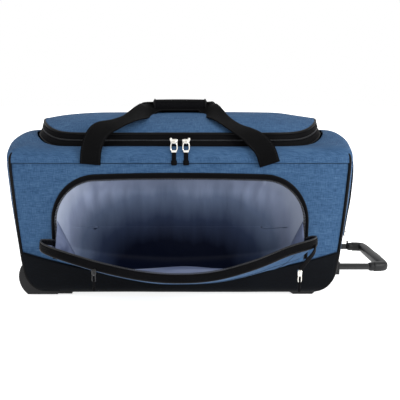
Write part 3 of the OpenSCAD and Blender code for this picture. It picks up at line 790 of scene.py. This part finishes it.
def ribbonPiece(name, middle, across, width, thick, body, replaced=(), material="webbing", slotName="webbing"):
    """Flat webbing: across gives its width direction at each point, and the cloth's uv runs along it."""
    n = len(middle)
    side = unit(across)
    normal = unit(np.cross(tangents(middle), side))
    side = unit(np.cross(normal, tangents(middle)))
    a = np.linspace(-1, 1, 13)
    section = [(w * width / 2, thick / 2 * (1 - 0.5 * abs(w) ** 8)) for w in a]
    section += [(w * width / 2, -thick / 2 * (1 - 0.5 * abs(w) ** 8)) for w in a[::-1]]
    section = np.array(section)
    p = middle[:, None] + side[:, None] * section[None, :, 0, None] + normal[:, None] * section[None, :, 1, None]
    along = np.concatenate([[0], np.cumsum(np.linalg.norm(np.diff(middle, axis=0), axis=1))])
    uv = np.stack(np.broadcast_arrays(section[None, :, 0] / width + 0.5, along[:, None]), -1)
    quads = gridQuads(n, len(section), False, True)
    m = len(a)
    caps = [[row * 2 * m + k, row * 2 * m + k + 1, row * 2 * m + 2 * m - 2 - k, row * 2 * m + 2 * m - 1 - k]
            for row in (0, n - 1) for k in range(m - 1)]
    quads = np.concatenate([quads, np.array(caps)])
    return meshPiece(name, p, quads, material, body, slotName, replaced, uv, outward=True)


def legLine(knots, widths, s, count):
    """Middle line and width direction of one leg, as knots with the x of its own side; s is -1 in front."""
    k, w = np.array(knots, float), 0.02 * np.array(widths, float)
    flip = np.array([1, -s, 1])
    both = spline(np.hstack([k, w]), count)
    return both[:, :3] * flip, both[:, 3:] * flip


def makeStraps():
    """Each strap is one ribbon: up from its seam, in to the grip, through it and down the other side."""
    left = dict(knots=[(-0.178, -0.1685, 0.2745), (-0.175, -0.1720, 0.303), (-0.168, -0.163, 0.327),
                       (-0.156, -0.146, 0.343), (-0.129, -0.124, 0.353), (-0.094, -0.096, 0.3665),
                       (-0.066, -0.026, 0.3800)],
                widths=[(1, 0, 0), (0.99, -0.03, -0.10), (0.85, -0.10, -0.50), (0.62, -0.50, -0.60),
                        (0.38, -0.84, -0.38), (0.14, -0.92, -0.35), (0, -0.90, -0.44)])
    right = dict(knots=[(0.178, -0.1685, 0.2745), (0.168, -0.1720, 0.302), (0.154, -0.160, 0.319),
                        (0.138, -0.143, 0.332), (0.111, -0.121, 0.346), (0.079, -0.082, 0.3665),
                        (0.060, -0.026, 0.3800)],
                 widths=[(-1, 0, 0), (-0.93, -0.05, -0.30), (-0.75, -0.30, -0.58), (-0.50, -0.68, -0.52),
                         (-0.33, -0.88, -0.32), (-0.12, -0.91, -0.36), (0, -0.90, -0.44)])
    for s, name, node, shift in ((-1, "frontStrapWebbing", "front_strap", -0.0035),
                                 (1, "backStrapWebbing", "back_strap", 0.0045)):
        gy, gz = strap["gripY"] + shift, strap["gripZ"] + s * 0.001
        a, aw = legLine(left["knots"], left["widths"], s, 90)
        b, bw = legLine(right["knots"], right["widths"], s, 90)
        x = np.linspace(-strap["gripX"] + 0.006, strap["gripX"] - 0.006, 24)[:, None]
        inside = np.hstack([x, np.full_like(x, gy), np.full_like(x, gz)])
        flatWay = np.broadcast_to([0, 0.0184 * s, -0.008], inside.shape)
        line = np.concatenate([a, inside, b[::-1]])
        across = np.concatenate([aw, flatWay, bw[::-1]])
        line = np.hstack([line, across])
        for _ in range(6):
            line[1:-1] = (line[:-2] + 2 * line[1:-1] + line[2:]) / 4
        line = resample(line, 230)
        seam = (0, s * 0.169, 0.2765)
        above = (0, s * 0.169, 0.294)
        ribbonPiece(name, line[:, :3], line[:, 3:], strap["width"], strap["thick"], ("root", node, seam, above),
                    (node,))


def sleeveSection(wide, tall, count):
    """Rounded-square section, from its half-width and half-height."""
    a = np.linspace(0, 2 * pi, count, endpoint=False)
    c, s = np.cos(a), np.sin(a)
    return np.stack([wide * np.sign(c) * np.abs(c) ** 0.75, tall * np.sign(s) * np.abs(s) ** 0.75], -1)


def makeWrap():
    """Padded sleeve round the two straps: a rounded section that swells a little in the middle."""
    g = strap["gripX"]
    x = np.linspace(-g, g, 40)
    line = np.stack([x, np.full(40, strap["gripY"]), np.full(40, strap["gripZ"])], -1)
    end = np.clip((g - np.abs(x)) / 0.004, 0, 1)
    size = (0.90 + 0.10 * np.sqrt(end)) * (1 + 0.05 * np.cos(pi * x / g / 2))
    up = np.broadcast_to([0, 0, 1.0], line.shape)
    sleeve = sweptPiece("gripSleeve", line, up, sleeveSection(0.0150, 0.0140, 40), "wrap", "front_strap", "wrap",
                        ("grip_wrap",), scale=size, subdiv=1)
    for k in (-1, 1):
        rim = sleeveSection(0.0153, 0.0143, 60) + [strap["gripY"], strap["gripZ"]]
        hoop = np.column_stack([np.full(60, k * (g - 0.004)), rim])
        sweptPiece("gripHem" + ("Left" if k < 0 else "Right"), hoop, np.broadcast_to([k * 1.0, 0, 0], hoop.shape),
                   roundSection(0.0016, 8), "piping", "front_strap", "piping", closed=True)


makeStraps()
makeWrap()
print("straps made")


# Pocket flap.

flap = dict(x=pocket["x"] - 0.002, normal=(0, 0.375, 0.927), hinge=(0, -0.170, 0.046), keep=0.15)


def flapEdge(count=160):
    """Edge of the open flap: forward from the opening's lower ends to the curled corners, then along the front."""
    return spline([(-0.250, -0.172, 0.112), (-0.256, -0.215, 0.124), (-0.261, -0.258, 0.1335),
                   (-0.249, -0.288, 0.1325), (-0.207, -0.318, 0.1265), (-0.1365, -0.338, 0.1113),
                   (-0.064, -0.346, 0.0985), (0, -0.347, 0.0945), (0.064, -0.346, 0.0995), (0.134, -0.336, 0.1165),
                   (0.196, -0.313, 0.1350), (0.240, -0.288, 0.1410), (0.256, -0.258, 0.1400),
                   (0.254, -0.215, 0.130), (0.250, -0.172, 0.114)], count)


def flapSurface(lift, count=160, rows=24):
    """Ruled cloth from the base seam out to the flap's edge; lift bows it up or down between them."""
    edge = flapEdge(count)
    share = np.linspace(-1, 1, count)
    hingeX = flap["x"] * np.sign(share) * np.abs(share) ** 0.85
    hinge = np.stack([hingeX, np.full(count, -bag["depth"] - 0.004), seamZ(hingeX) + 0.004], -1)
    v = np.linspace(0, 1, rows)[:, None, None]
    p = hinge[None] * (1 - v) + edge[None] * v
    if lift < 0:
        mid = (1 - share ** 4)[None, :] * (1 + 0.45 * share[None, :])
    else:
        mid = 1.3 * np.exp(-(share / 0.30) ** 2)[None, :] - 0.3
    p[..., 2] += lift * np.sin(pi * v[..., 0]) * mid
    p[..., 2] += np.sin(pi * v[..., 0]) * 0.0016 * ripple(p, 40, 41)
    return p


def flapPiece(piece):
    """Bakes the piece's modifiers and gives it its own copy of the mesh."""
    settle(piece)


def makeFlap():
    outer = flapSurface(-0.013)
    flapPiece(meshPiece("flapOuterCloth", outer, gridQuads(*outer.shape[:2]), "shell", "pocket_flap", "shell_fabric",
                        ("pocket_flap",), clothUv(outer), 0.0015))
    inner = flapSurface(0.019)[:-1]
    inner[..., 2] += 0.001
    flapPiece(meshPiece("flapInnerCloth", inner, gridQuads(*inner.shape[:2]), "flapLiningPaintedShade", "pocket_flap", "lining",
                        (), clothUv(inner), 0.001, flip=True))
    edge = flapEdge(220)
    up = np.broadcast_to([0, 0.35, 0.94], edge.shape)
    size = 0.75 + 0.25 * ease((1 - np.abs(np.linspace(-1, 1, 220))) / 0.06)
    flapPiece(sweptPiece("flapTape", edge + [0, 0, 0.001], up, barSection(0.0050, 0.0130, 0.0022), "tape",
                         "pocket_flap", "zip_tape", ("flap_zip_tape",), scale=size))
    flapPiece(makeTeeth("flapTeeth", edge + [0, 0.001, 0.0080], "pocket_flap", (), closed=False))
    flapPiece(sweptPiece("flapBinding", edge + [0, -0.0022, -0.0060], up, roundSection(0.0021, 8), "piping",
                         "pocket_flap", "piping"))
    makeFlapSeams()


def makeFlapSeams():
    """Dark seams on the flap's outer face: one a little inside its edge, and one across its right corner."""
    outer = flapSurface(-0.0142)
    count = outer.shape[1]
    along = outer[-9, 8:-8] - [0, 0, 0.0006]
    cross = outer[4:-2, int(0.80 * count)] - [0, 0, 0.0006]
    for name, line in (("flapSeam", along), ("flapCornerSeam", cross)):
        n = 140 if line is along else 30
        flapPiece(sweptPiece(name, resample(line, n), np.broadcast_to([0, 0, 1.0], (n, 3)), roundSection(0.0009, 6),
                             "thread", "pocket_flap", "shell_fabric"))
    tail = spline([(0.252, -0.272, 0.139), (0.243, -0.300, 0.130), (0.226, -0.322, 0.119), (0.212, -0.3345, 0.108)], 40)
    flapPiece(sweptPiece("flapZipTail", tail, np.broadcast_to([0, 0.35, 0.94], tail.shape),
                         barSection(0.0028, 0.0080, 0.0012), "tape", "pocket_flap", "zip_tape"))


def makeGussets():
    """Side cloths between the opening and the flap's sides: triangles that sag between their edges."""
    for k, name in ((-1, "Left"), (1, "Right")):
        x = k * (pocket["x"] - 0.004)
        v = np.linspace(0, 1, 14)[:, None]
        w = np.linspace(0, 1, 14)[None]
        top = np.array([x, -bag["depth"] + 0.002, 0.158])
        low = np.array([x - k * 0.035, -bag["depth"] + 0.004, 0.084])
        tip = np.array([x - k * 0.004, -bag["depth"] - 0.050, 0.112])
        wall = top * (1 - v[..., None]) + low * v[..., None]
        p = wall * (1 - w[..., None]) + tip * w[..., None]
        p[..., 0] -= k * 0.009 * np.sin(pi * v) * np.sin(pi * w)
        piece = meshPiece("gusset" + name, p, gridQuads(14, 14), "flapLiningPaintedShade", "root", "lining",
                          ("pocket_gussets",) if k < 0 else (), clothUv(p), 0.001)
        settle(piece)


def makeOpeningTape():
    """Zip tape and teeth round the pocket opening, on the front panel."""
    line = onFront(pocketLoop(0.0035, 260)[0], 0.0012)
    out = np.broadcast_to([0, -1.0, 0], line.shape)
    rise = ease((line[:, 2] - 0.17) / 0.07)
    sweptPiece("openingTape", line, out, barSection(0.0105, 0.0030, 0.0012), "tape", "root", "zip_tape",
               ("pocket_zip_tape",), scale=0.55 + 0.45 * rise)
    bound = onFront(pocketLoop(0.0055, 260)[0], 0.0012)
    bound[:, 2] += 0.0030 * ease((bound[:, 2] - 0.17) / 0.07)
    sweptPiece("openingBinding", bound, out, roundSection(0.0018, 8), "piping", "root", "piping")
    makeTeeth("openingTeeth", onFront(pocketLoop(-0.0018, 260)[0], 0.0016), "root", (), closed=False,
              out=np.array([0, -1.0, 0]))


makeFlap()
makeGussets()
makeOpeningTape()
print("pocket made")


# Zip sliders and pulls.

def blockPiece(name, centre, size, r, material, body, slotName, replaced=(), taper=1.0, subdiv=0):
    """Rounded block, long in z: a bar section swept upwards, drawn in at both ends and tapered to its foot."""
    z = np.linspace(-0.5, 0.5, 11)
    path = np.stack([np.full(11, centre[0]), np.full(11, centre[1]), centre[2] + z * size[2]], -1)
    scale = (1 - 0.30 * np.abs(2 * z) ** 6) * (taper + (1 - taper) * (z + 0.5))
    return sweptPiece(name, path, np.broadcast_to([0, -1.0, 0], path.shape), barSection(size[0], size[1], r), material,
                      body, slotName, replaced, scale=scale, subdiv=subdiv)


def hoopPiece(name, centre, width, height, r, body, material="zip", out=(0, -1.0, 0), along=(1.0, 0, 0)):
    """Wire link: a rounded oblong loop of round metal."""
    a = np.linspace(0, 2 * pi, 40, endpoint=False)
    c, s = np.cos(a), np.sin(a)
    x = width / 2 * np.sign(c) * np.abs(c) ** 0.6
    z = height / 2 * np.sign(s) * np.abs(s) ** 0.6
    wide, high = np.array(along), np.cross(np.array(out), np.array(along))
    path = np.array(centre) + x[:, None] * wide + z[:, None] * high
    return sweptPiece(name, path, np.broadcast_to(out, path.shape), roundSection(r, 8), material, body, "zip_metal",
                      closed=True)


def bridgePiece(name, centre, width, proud, r, body, material="zip", out=(0, -1.0, 0), along=(1.0, 0, 0)):
    """Arched bridge of a slider, that its pull hangs from."""
    a = np.linspace(0, pi, 18)
    path = np.array(centre) + np.cos(a)[:, None] * width / 2 * np.array(along)
    path = path + np.sin(a)[:, None] * proud * np.array(out)
    up = np.broadcast_to(np.cross(out, along), path.shape)
    return sweptPiece(name, path, up, barSection(2.4 * r, 2 * r, r * 0.7), material, body, "zip_metal")


def pullCord(name, top, foot, width, body, replaced):
    """Black pull: a flat woven loop with a thicker moulded end."""
    top, foot = np.array(top), np.array(foot)
    t = np.linspace(0, 1, 22)
    path = top * (1 - t[:, None]) + foot * t[:, None]
    scale = 0.72 + 0.28 * ease((t - 0.62) / 0.06) - 0.22 * ease((t - 0.93) / 0.07)
    return sweptPiece(name, path, np.broadcast_to([1.0, 0, 0], path.shape), barSection(0.0034, width, 0.0014), "pull",
                      body, "pull_cord", replaced, scale=scale)


def onRightEnd(y, z, proud):
    """Points on the right end wall, moved outwards by proud."""
    p = wallPoint("right", np.clip(y / halfDepth(z) / 2 + 0.5, 0, 1), z)
    p[..., 0] += proud
    return p


def makeMainZipEnds():
    for name, k in (("Left", -1), ("Right", 1)):
        low = name.lower()
        slider, pull = "main_slider_" + low, "main_pull_" + low
        x = (lo[slider][0] + hi[slider][0]) / 2
        y, z = hi[slider][1], (lo[slider][2] + hi[slider][2]) / 2
        blockPiece("mainSlider" + name + "Body", (x, y - 0.0030, z + 0.0015), (0.0165, 0.0060, 0.0100), 0.0020, "zip",
                   slider, "zip_metal", (slider,), taper=0.85, subdiv=1)
        bridgePiece("mainSlider" + name + "Bridge", (x, y - 0.0045, z + 0.001), 0.0115, 0.0040, 0.0011, slider)
        blockPiece("mainSlider" + name + "Nose", (x + k * 0.0060, y - 0.0035, z + 0.0060), (0.0050, 0.0050, 0.0060),
                   0.0014, "zip", slider, "zip_metal", subdiv=1)
        py = (lo[pull][1] + hi[pull][1]) / 2
        hoopPiece("mainPull" + name + "Link", (x, py, hi[pull][2] - 0.0085), 0.0125, 0.0165, 0.0013, pull)
        blockPiece("mainPull" + name + "Clamp", (x, py, hi[pull][2] - 0.0170), (0.0110, 0.0036, 0.0050), 0.0012,
                   "zip", pull, "zip_metal", subdiv=1)
        pullCord("mainPull" + name + "Cord", (x, py, hi[pull][2] - 0.0180), (x, py - 0.0010, lo[pull][2]), 0.0118, pull,
                 (pull,))


def makeFlapZipEnds():
    for name in ("Left", "Right"):
        slider, pull = "flap_slider_" + name.lower(), "flap_pull_" + name.lower()
        c = (lo[slider] + hi[slider]) / 2
        p = (lo[pull] + hi[pull]) / 2
        finish = "lacquer" if name == "Left" else "zip"
        blockPiece("flapSlider" + name + "Body", c, (0.0088, 0.0075, 0.0120), 0.0020, finish, slider, "zip_metal",
                   (slider,), taper=0.8, subdiv=1)
        bridgePiece("flapSlider" + name + "Bridge", (c[0], c[1] - 0.0030, c[2]), 0.0080, 0.0030, 0.0009, slider,
                    finish, along=(0, 0.0, 1.0))
        hoopPiece("flapPull" + name + "Link", (c[0], p[1], hi[pull][2] - 0.0050), 0.0056, 0.0120, 0.0009, pull, finish)
        pullCord("flapPull" + name + "Cord", (c[0], p[1], hi[pull][2] - 0.0085), (c[0], p[1], lo[pull][2]), 0.0056,
                 pull, (pull,))


def makeEndZipEnd():
    c = (lo["end_slider"] + hi["end_slider"]) / 2
    p = (lo["end_pull"] + hi["end_pull"]) / 2
    c[0] = onRightEnd(c[1:2], c[2:3], 0.0080)[0, 0]
    p[0] = c[0] + 0.0050
    blockPiece("endSliderBody", c, (0.0085, 0.0072, 0.0115), 0.0020, "zip", "end_slider", "zip_metal",
               ("end_slider",), taper=0.85, subdiv=1)
    hoopPiece("endPullLink", (p[0], p[1], hi["end_pull"][2] - 0.0060), 0.0045, 0.0110, 0.0009, "end_pull")
    pullCord("endPullCord", (p[0], p[1], hi["end_pull"][2] - 0.0095), (p[0], p[1], lo["end_pull"][2]), 0.0046,
             "end_pull", ("end_pull",))


makeMainZipEnds()
makeFlapZipEnds()
makeEndZipEnd()
print("zip ends made")


# End pocket and trolley grip.

endPocket = dict(y=hi["end_pocket"][1], low=lo["end_pocket"][2], top=hi["end_pocket"][2], r=0.050, proud=0.0120)


def endPocketOutline(grow, count):
    """From the lower front corner up, over the rounded top corners and down to the lower back corner."""
    y, z, r = endPocket["y"] + grow, endPocket["top"] + grow, endPocket["r"] + grow
    a = np.linspace(0, pi / 2, 16)
    front = np.stack([-(y - r) - r * np.cos(a), z - r + r * np.sin(a)], -1)
    return resample(np.concatenate([[[-y, endPocket["low"]]], front, front[::-1] * [-1, 1], [[y, endPocket["low"]]]]),
                    count)


def makeEndPocket():
    """Soft bulging pocket sewn on the right end, with its zip up the sides and over the top."""
    line = endPocketOutline(-0.002, 150)
    foot = np.stack([np.linspace(line[0, 0], line[-1, 0], 150), np.full(150, endPocket["low"])], -1)
    v = np.linspace(0, 1, 34)[:, None, None]
    yz = foot[None] * (1 - v) + line[None] * v
    side = 1 - np.clip(np.abs(yz[..., 0]) / endPocket["y"], 0, 1) ** 4
    level = np.clip((yz[..., 1] - endPocket["low"]) / (endPocket["top"] - endPocket["low"]), 0, 1)
    puff = (side * np.sin(pi * np.clip(level * 0.94 + 0.03, 0, 1)) ** 0.6) ** 0.8
    p = onRightEnd(yz[..., 0], yz[..., 1], 0.002 + endPocket["proud"] * puff)
    p[..., 0] += puff * 0.0016 * ripple(p, 42, 51)
    meshPiece("endPocketCloth", p, gridQuads(*p.shape[:2]), "shell", "root", "shell_fabric", ("end_pocket",),
              clothUv(p), 0.002, outward=False)
    band = endPocketOutline(0.003, 170)
    path = onRightEnd(band[:, 0], band[:, 1], 0.0035)
    out = np.broadcast_to([1.0, 0, 0], path.shape)
    sweptPiece("endPocketTape", path, out, barSection(0.0150, 0.0040, 0.0015), "tape", "root", "zip_tape",
               ("end_pocket_zip",))
    makeTeeth("endPocketTeeth", path + [0.0024, 0, 0], "root", (), closed=False, out=np.array([1.0, 0, 0]))
    for grow, name in ((-0.0042, "endPocketPipingInner"), (0.0102, "endPocketPipingOuter")):
        rim = endPocketOutline(grow, 170)
        sweptPiece(name, onRightEnd(rim[:, 0], rim[:, 1], 0.0048), out, roundSection(0.0020, 8), "piping", "root",
                   "piping")


def makeTrolleyGrip():
    """Moulded bar with rounded elbows, and a collar where each tube goes in."""
    z = (lo["handle_grip"][2] + hi["handle_grip"][2]) / 2
    y, x0, x1 = 0.088, lo["handle_grip"][0] - 0.002, 0.4440
    path = spline([(x0, -y, z), (x0 + 0.004, -y, z), (x1 - 0.005, -y + 0.003, z), (x1, -y + 0.012, z),
                   (x1, -0.030, z), (x1, 0, z), (x1, 0.030, z), (x1, y - 0.012, z), (x1 - 0.005, y - 0.003, z),
                   (x0 + 0.004, y, z), (x0, y, z)], 120)
    a = np.linspace(0, 2 * pi, 24, endpoint=False)
    c, s = np.cos(a), np.sin(a)
    section = np.stack([0.0106 * np.sign(c) * np.abs(c) ** 0.8, 0.0112 * np.sign(s) * np.abs(s) ** 0.8], -1)
    middle = 1 - np.clip(np.abs(path[:, 1]) / 0.075, 0, 1) ** 6
    size = 0.94 + 0.06 * middle
    sweptPiece("trolleyGrip", path, np.broadcast_to([0, 0, 1.0], path.shape), section, "grip", "trolley",
               "grip_plastic", ("handle_grip",), scale=size, subdiv=1)
    for k, name in ((-1, "trolleyCollarFront"), (1, "trolleyCollarBack")):
        x = np.linspace(x0 - 0.010, x0 + 0.006, 12)
        collar = np.stack([x, np.full(12, k * y), np.full(12, z)], -1)
        t = np.linspace(0, 1, 12)
        sweptPiece(name, collar, np.broadcast_to([0, 0, 1.0], collar.shape), roundSection(0.0096, 24), "grip",
                   "trolley", "grip_plastic", scale=0.88 + 0.12 * ease(t * 4), subdiv=0)


def makeSeams():
    """Sewn seams: the yoke's along all four walls, and the smile seam above the base."""
    for side in sides:
        u = np.linspace(0, 1, 120)
        edge = seamZ(wallPoint(side, u, np.full(120, 0.1))[..., 0])
        for name, z, r in (("YokeSeam", np.full(120, bag["yokeZ"] - 0.0006), 0.0008),
                           ("BaseSeam", edge + 0.0004, 0.0011)):
            path = wallPoint(side, u, z)
            flat = np.broadcast_to([0, 0, 1.0], path.shape)
            sweptPiece(side + name, path, flat, roundSection(r, 6), "thread", "root", "shell_fabric")


makeEndPocket()
makeTrolleyGrip()
makeSeams()
print("end pocket and grip made")


# Studio.

def makeStudio():
    floorMesh = bpy.data.meshes.new("floor")
    half, near, far = 14.0, -14.0, 14.0
    floorMesh.from_pydata([(-half, near, -0.0005), (half, near, -0.0005), (half, far, -0.0005), (-half, far, -0.0005)],
                          [], [(0, 1, 2, 3)])
    floor = bpy.data.objects.new("floor", floorMesh)
    bpy.context.collection.objects.link(floor)
    floorMesh.materials.append(floorMaterial())
    world = bpy.data.worlds.new("studio")
    bpy.context.scene.world = world
    world.use_nodes = True
    world.node_tree.nodes["Background"].inputs[0].default_value = (1, 1, 1, 1)
    world.node_tree.nodes["Background"].inputs[1].default_value = studio["sky"]
    for name, place, size, power in studio["lamps"]:
        lamp = bpy.data.lights.new(name, "AREA")
        lamp.energy, lamp.size = power, size
        obj = bpy.data.objects.new(name, lamp)
        obj.location = place
        aim = np.array([0, -0.05, 0.18]) - np.array(place)
        yaw = math.atan2(aim[1], aim[0])
        pitch = math.atan2(aim[2], math.hypot(aim[0], aim[1]))
        obj.rotation_euler = (pi / 2 + pitch, 0, yaw - pi / 2)
        bpy.context.collection.objects.link(obj)


def makeCamera():
    """Standing in front of the bag, a little above its top, looking down ten degrees."""
    camera = bpy.data.cameras.new("camera")
    camera.lens, camera.sensor_width, camera.shift_x = studio["lens"], 36.0, studio["shift"]
    obj = bpy.data.objects.new("camera", camera)
    obj.location = studio["eye"]
    obj.rotation_euler = (math.radians(90 - studio["tilt"]), 0, 0)
    bpy.context.collection.objects.link(obj)
    bpy.context.scene.camera = obj


studio = dict(eye=(0, -1.4, 0.42), tilt=10, lens=56.25, shift=0.05, sky=1.0,
              lamps=[("keyLamp", (1.7, -1.5, 1.0), 1.0, 34), ("topLamp", (0.3, 0.1, 2.4), 1.6, 6),
                     ("fillLamp", (-1.6, -1.7, 1.9), 1.2, 4)])
makeStudio()
makeCamera()
bpy.context.scene.view_settings.view_transform = "Standard"
print("studio made")


# What the CAD model shows itself.

nodeSlots = {s["node"]: s["material_slot"] for s in frame["record"]["subparts"]}
for nodeName, obj in frame["nodes"].items():
    obj.data.materials.clear()
    obj.data.materials.append(mats[slotMaterial[nodeSlots[nodeName]]])
